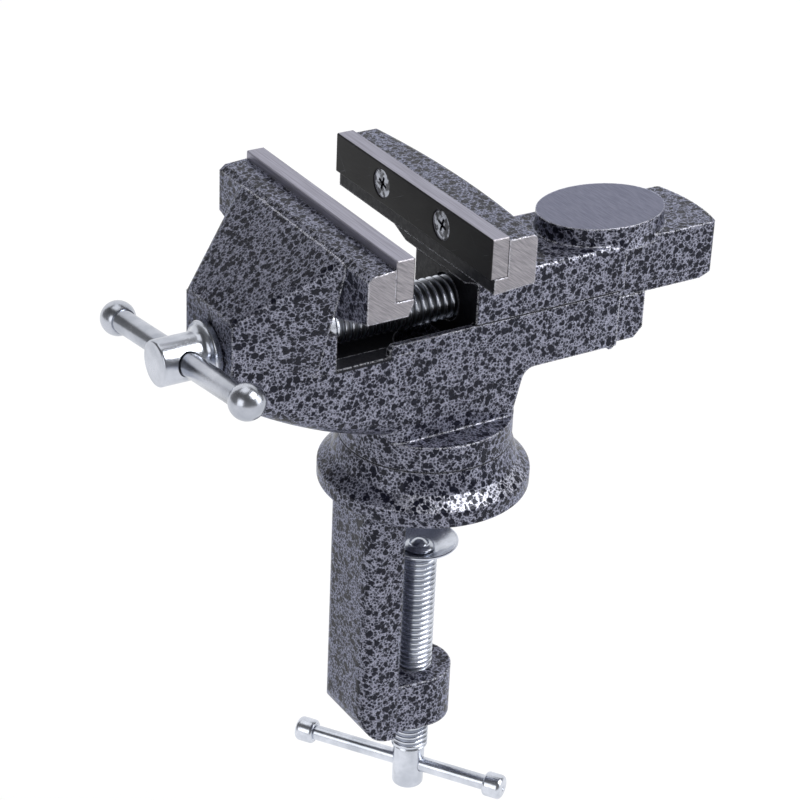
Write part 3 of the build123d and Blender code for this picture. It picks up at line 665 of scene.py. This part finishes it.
class VISE_OT_lead_screw(Operator):
    """Turns the lead screw: drilled hub with its collar, and the thread"""

    bl_idname = "vise.lead_screw"
    bl_label = "Lead screw"

    def execute(self, context):
        looks, sizes = context.scene.vise_looks, context.scene.vise_screws
        (front, _, _), (tip, _, _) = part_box("lead_screw")
        height = middle("lead_screw", 2)
        place = along_axis((0, 0, height), (1, 0, 0), (0, 0, 1))
        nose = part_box("fixed_jaw_body")[0][0]
        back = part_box("retaining_pin")[1][0] + 6.7 * MM
        hub, collar, shank = sizes.hub_radius, sizes.collar_radius, sizes.lead_radius - 0.1 * MM
        edge, waist, flare = 0.6 * MM, nose - 4.2 * MM, 2.2 * MM
        profile = (
            [(front, 0), (front, hub * 0.45), (front, hub - edge)],
            arc((front + edge, hub - edge), edge, 180, 90, 6),
            [(waist - 1.0 * MM, hub), (waist, hub)],
            arc((waist, hub + flare), flare, 270, 350, 8),
            offsets((nose, collar), (-1.9, -0.25), (-1.6, 0), (-0.35, 0), (-0.05, -0.3)),
            offsets((nose, shank), (-0.05, 0)),
            offsets((back, shank), (-0.6, 0), (0, -0.6)),
            [(back, 0)],
        )
        head = turned("lead_screw_head", np.vstack(profile), place, 96)
        bored(head, handle_place(), sizes.bar_radius + 0.3 * MM)
        # painted shade darkens the hub and collar's zinc
        finish = zinc("lead_head_zinc", looks, shade=0.25)
        fit(head, "screw", finish, "zinc_plated_steel", "lead_screw")
        radius, pitch, depth = sizes.lead_radius, sizes.lead_pitch, sizes.lead_depth
        thread = threaded("lead_screw_thread", back - 0.3 * MM, tip, radius, pitch, depth, place)
        finish = zinc("lead_thread_zinc", looks, (0.0, height), radius, depth)
        fit(thread, "screw", finish, "zinc_plated_steel", "lead_screw")
        hidden = zinc("hidden_zinc", looks)
        dress("thrust_washer", hidden)
        dress("retaining_pin", hidden)
        dress("lead_nut", oiled("nut_steel", looks))
        return {"FINISHED"}


class VISE_OT_lead_handle(Operator):
    """Turns the lead screw's sliding bar with its two ball ends"""

    bl_idname = "vise.lead_handle"
    bl_label = "Lead screw handle"

    def execute(self, context):
        looks, sizes = context.scene.vise_looks, context.scene.vise_screws
        place = handle_place()
        half = abs((place.inverted() @ centre_of("handle_ball_near"))[2])
        ball, bar, face_radius = sizes.ball_radius, sizes.bar_radius, sizes.bar_radius + 0.35 * MM
        start = 180 - math.degrees(math.asin(face_radius / ball))
        face = half + ball * math.cos(math.radians(start))
        collar = offsets((face, bar), (-0.25, 0), (0, 0.1))
        near_end = np.vstack((collar, arc((half, 0), ball, start, 3, 26), [(half + ball, 0)]))
        far_end = near_end[::-1] * (-1, 1)
        piece = turned("lead_handle", np.vstack((far_end, near_end)), place, sharp=38)
        # painted shade darkens the handle's zinc
        finish = zinc("lead_handle_zinc", looks, shade=0.35)
        stood_for = ("handle_bar", "handle_ball_near", "handle_ball_far")
        fit(piece, "screw_handle", finish, "zinc_plated_steel", *stood_for)
        return {"FINISHED"}


class VISE_OT_clamp_screw(Operator):
    """Turns the clamp screw: drilled hub, thread and the swaged tip"""

    bl_idname = "vise.clamp_screw"
    bl_label = "Clamp screw"

    def execute(self, context):
        looks, sizes = context.scene.vise_looks, context.scene.vise_screws
        place = Matrix.Identity(4)
        low, pad_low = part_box("clamp_screw")[0][2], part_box("pressure_pad")[0][2]
        foot, hub, edge = -82.0 * MM, sizes.clamp_hub_radius, 0.7 * MM
        profile = (
            [(low, 0), (low, hub - edge)],
            arc((low + edge, hub - edge), edge, 180, 90, 6),
            offsets((foot, hub), (-0.5, 0), (0, -0.3)),
            [(foot, 0)],
        )
        head = turned("clamp_screw_hub", np.vstack(profile), place, 80)
        bored(head, clamp_bar_place(), sizes.clamp_bar_radius + 0.12 * MM)
        fit(head, "clamp_spindle", zinc("clamp_hub_zinc", looks), "zinc_plated_steel", "clamp_screw")
        start, end = foot - 0.01 * MM, pad_low - 0.1 * MM
        radius, pitch, depth = sizes.clamp_radius, sizes.clamp_pitch, sizes.clamp_depth
        thread = threaded("clamp_screw_thread", start, end, radius, pitch, depth, place, 48, narrow=2.4)
        finish = zinc("clamp_thread_zinc", looks, (0.0, 0.0), radius, depth, "z", dirt=0.15)
        fit(thread, "clamp_spindle", finish, "zinc_plated_steel", "clamp_screw")
        crown = pad_low + 1.3 * MM
        rivet = (
            offsets((pad_low, 0), (-0.2, 0), (-0.2, 3.2)),
            offsets((crown, 0), (0, 3.2), (0, 4.0), (0.5, 4.0), (1.0, 3.6), (1.3, 2.9), (1.2, 2.5)),
            arc((crown - 0.7 * MM, 0), 2.9 * MM, 58, 4, 10),
            offsets((crown, 0), (2.2, 0)),
        )
        point = turned("clamp_screw_tip", np.vstack(rivet), place, 56)
        fit(point, "clamp_spindle", zinc("clamp_tip_zinc", looks), "zinc_plated_steel", "clamp_screw")
        return {"FINISHED"}


class VISE_OT_clamp_handle(Operator):
    """Turns the clamp's sliding bar with its barrel knobs"""

    bl_idname = "vise.clamp_handle"
    bl_label = "Clamp handle"

    def execute(self, context):
        looks, sizes = context.scene.vise_looks, context.scene.vise_screws
        place = clamp_bar_place()
        knobs = ("clamp_knob_near", "clamp_knob_far")
        far, near = sorted((place.inverted() @ centre_of(node))[2] for node in knobs)
        half, knob, bar = 2.6 * MM, sizes.knob_radius, sizes.clamp_bar_radius
        round_in, round_out = 0.9 * MM, 1.2 * MM
        barrel = (
            offsets((-half, bar), (0, 0.02), (0, 0.5)),
            arc((round_in - half, knob - round_in), round_in, 180, 90, 6),
            arc((half - round_out, knob - round_out), round_out, 90, 0, 8),
            offsets((half, 0), (0, 1.0), (-0.35, 0.5), (-0.35, 0)),
        )
        barrel = np.vstack(barrel)
        profile = np.vstack(((barrel * (-1, 1) + (far, 0))[::-1], barrel + (near, 0)))
        piece = turned("clamp_handle", profile, place, 64)
        stood_for = ("clamp_handle_bar", *knobs)
        fit(piece, "clamp_handle", zinc("clamp_handle_zinc", looks), "zinc_plated_steel", *stood_for)
        return {"FINISHED"}


class VISE_OT_pad(Operator):
    """Presses the dished pad on the clamp screw's tip"""

    bl_idname = "vise.pad"
    bl_label = "Pressure pad"

    def execute(self, context):
        (_, _, floor), (rim, _, top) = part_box("pressure_pad")
        profile = (
            offsets((floor, 0), (1.1, 3.35), (1.1, 4.7), (1.45, 5.6), (2.5, 7.6)),
            offsets((top, rim), (-0.5, -0.9), (-0.1, -0.6), (0, -0.3), (-0.15, 0), (-0.5, 0)),
            offsets((floor, 0), (1.9, 8.3), (0.5, 6.2), (0.05, 5.2), (0, 4.4), (0, 3.35)),
        )
        piece = turned("pad_dish", np.vstack(profile), Matrix.Identity(4), 80, ring=True, sharp=50)
        finish = zinc("pad_zinc", context.scene.vise_looks)
        fit(piece, "pad", finish, "zinc_plated_steel", "pressure_pad")
        return {"FINISHED"}


class VISE_OT_pivot(Operator):
    """Finishes the swivel's bolt and washers, which lie under the lead screw"""

    bl_idname = "vise.pivot"
    bl_label = "Pivot bolt"

    def execute(self, context):
        finish = zinc("pivot_zinc", context.scene.vise_looks)
        for node in ("pivot_bolt", "pivot_washer", "pivot_spring_washer"):
            dress(node, finish)
        return {"FINISHED"}


class VISE_OT_stage(Operator):
    """Lays the pale floor and backdrop and sets the lights and the camera"""

    bl_idname = "vise.stage"
    bl_label = "Stage"

    def execute(self, context):
        stage = context.scene.vise_stage
        self.sheet(stage)
        self.lamps(context, stage)
        self.sky(context, stage)
        self.camera(context)
        context.scene.view_settings.view_transform = "Standard"
        return {"FINISHED"}

    @staticmethod
    def sheet(stage):
        """Floor that bends up into a backdrop behind the vise. It is matte and pale under the lamps, and white where
        the camera, gloss or glass look at it."""
        floor_z = cad_box[0][2] - stage.drop
        start, bend_start, bend, top, flat_rows = -2.2, 1.1, 0.5, 2.6, 20
        angle = np.radians(np.linspace(9, 90, 10))
        across = np.linspace(-2.4, 2.4, 25)
        run = (np.linspace(start, bend_start, flat_rows), bend_start + bend * np.sin(angle), [bend_start + bend])
        rise = (np.zeros(flat_rows), bend - bend * np.cos(angle), [top])
        run, rise = np.concatenate(run)[:, None], np.concatenate(rise)[:, None]
        points = np.stack(np.broadcast_arrays(across[None, :], run, floor_z + rise), -1)
        turn = Matrix.Rotation(math.radians(-32.5), 4, "Z")
        sheet = placed("stage_sheet", points, net(len(run), len(across), closed=False), turn, 60)
        paint = finish_named("stage_paint")
        seen = paint.seen_by("Camera", "Glossy", "Transmission")
        matte = paint.node("ShaderNodeBsdfDiffuse", {}, {"Color": (*stage.pale, 1.0)})
        white = paint.node("ShaderNodeEmission", {}, {"Color": WHITE, "Strength": 1.05})
        both = paint.node("ShaderNodeMixShader", {}, {0: seen * 0.92, 1: matte, 2: white})
        paint.node("ShaderNodeOutputMaterial", {}, {"Surface": both})
        sheet.data.materials.append(paint.owner)

    @staticmethod
    def lamps(context, stage):
        """Four soft square lamps, each with its place and its width in metres."""
        target = Vector((0, 0, 0.01))
        plan = (
            ("right", (1.05, -0.95, 0.45), 0.9, stage.key),
            ("left", (-1.25, -0.45, 0.40), 0.8, stage.fill),
            ("top", (-0.1, 0.35, 1.35), 0.9, stage.top),
            ("front", (0.48, -0.68, 1.13), 0.7, stage.front),
        )
        for name, spot, size, power in plan:
            lamp = bpy.data.lights.new(name, "AREA")
            lamp.shape = "SQUARE"
            lamp.size = size
            lamp.energy = power
            holder = bpy.data.objects.new(name, lamp)
            holder.location = spot
            holder.rotation_mode = "QUATERNION"
            holder.rotation_quaternion = (target - Vector(spot)).to_track_quat("-Z", "Y")
            context.scene.collection.objects.link(holder)

    @staticmethod
    def sky(context, stage):
        """Sky that is bright low down and dim overhead, and which the camera sees as white."""
        context.scene.world = bpy.data.worlds.new("sky")
        sky = Finish(context.scene.world, "Generated")
        low = sky.node("ShaderNodeBackground", {}, {"Strength": stage.sky})
        high = sky.node("ShaderNodeBackground", {}, {"Strength": stage.zenith})
        white = sky.node("ShaderNodeBackground", {}, {"Color": WHITE, "Strength": 1.0})
        dome = sky.node("ShaderNodeMixShader", {}, {0: sky.z.rise(0.15, 0.75), 1: low, 2: high})
        both = sky.node("ShaderNodeMixShader", {}, {0: sky.seen_by("Camera", "Transmission"), 1: dome, 2: white})
        sky.node("ShaderNodeOutputWorld", {}, {"Surface": both})

    @staticmethod
    def camera(context):
        """Camera at the photograph's place, which looks from the left and from above and is rolled a little."""
        azimuth, elevation, roll = (math.radians(angle) for angle in (-32.52, 28.33, 2.56))
        focal_length, spot = 114.14, Vector((-0.30199, -0.46160, 0.31823))
        level = math.cos(elevation)
        back = Vector((math.sin(azimuth) * level, -math.cos(azimuth) * level, math.sin(elevation)))
        right = Vector((math.cos(azimuth), math.sin(azimuth), 0))
        up = back.cross(right)
        across = right * math.cos(roll) + up * math.sin(roll)
        above = up * math.cos(roll) - right * math.sin(roll)
        lens = bpy.data.cameras.new("camera")
        lens.sensor_width = 36.0
        lens.lens = focal_length
        lens.clip_start, lens.clip_end = 0.01, 20.0
        holder = bpy.data.objects.new("camera", lens)
        turn = Matrix((across, above, back)).transposed()
        holder.matrix_world = Matrix.Translation(spot) @ turn.to_4x4()
        context.scene.collection.objects.link(holder)
        context.scene.camera = holder


class VISE_PT_panel(Panel):
    """Lists the vise's pieces and settings"""

    bl_idname = "VISE_PT_panel"
    bl_label = "Vise"
    bl_space_type = "VIEW_3D"
    bl_region_type = "UI"
    bl_category = "Vise"

    def draw(self, context):
        for operator in pieces:
            self.layout.operator(operator.bl_idname)
        for group in (context.scene.vise_looks, context.scene.vise_screws, context.scene.vise_stage):
            box = self.layout.box()
            for key in group.__annotations__:
                box.prop(group, key)


pieces = (
    VISE_OT_castings,
    VISE_OT_plates,
    VISE_OT_lead_screw,
    VISE_OT_lead_handle,
    VISE_OT_clamp_screw,
    VISE_OT_clamp_handle,
    VISE_OT_pad,
    VISE_OT_pivot,
    VISE_OT_stage,
)
settings = {"vise_looks": ViseLooks, "vise_screws": ViseScrews, "vise_stage": ViseStage}


def register():
    """Registers the classes and hangs the settings on the scene."""
    for kind in (*settings.values(), *pieces, VISE_PT_panel):
        bpy.utils.register_class(kind)
    for key, kind in settings.items():
        setattr(bpy.types.Scene, key, PointerProperty(type=kind))


def unregister():
    """Undoes register."""
    for key in settings:
        delattr(bpy.types.Scene, key)
    for kind in reversed((*settings.values(), *pieces, VISE_PT_panel)):
        bpy.utils.unregister_class(kind)


def main():
    register()
    for operator in pieces:
        group, name = operator.bl_idname.split(".")
        getattr(getattr(bpy.ops, group), name)()


if __name__ == "__main__":
    main()
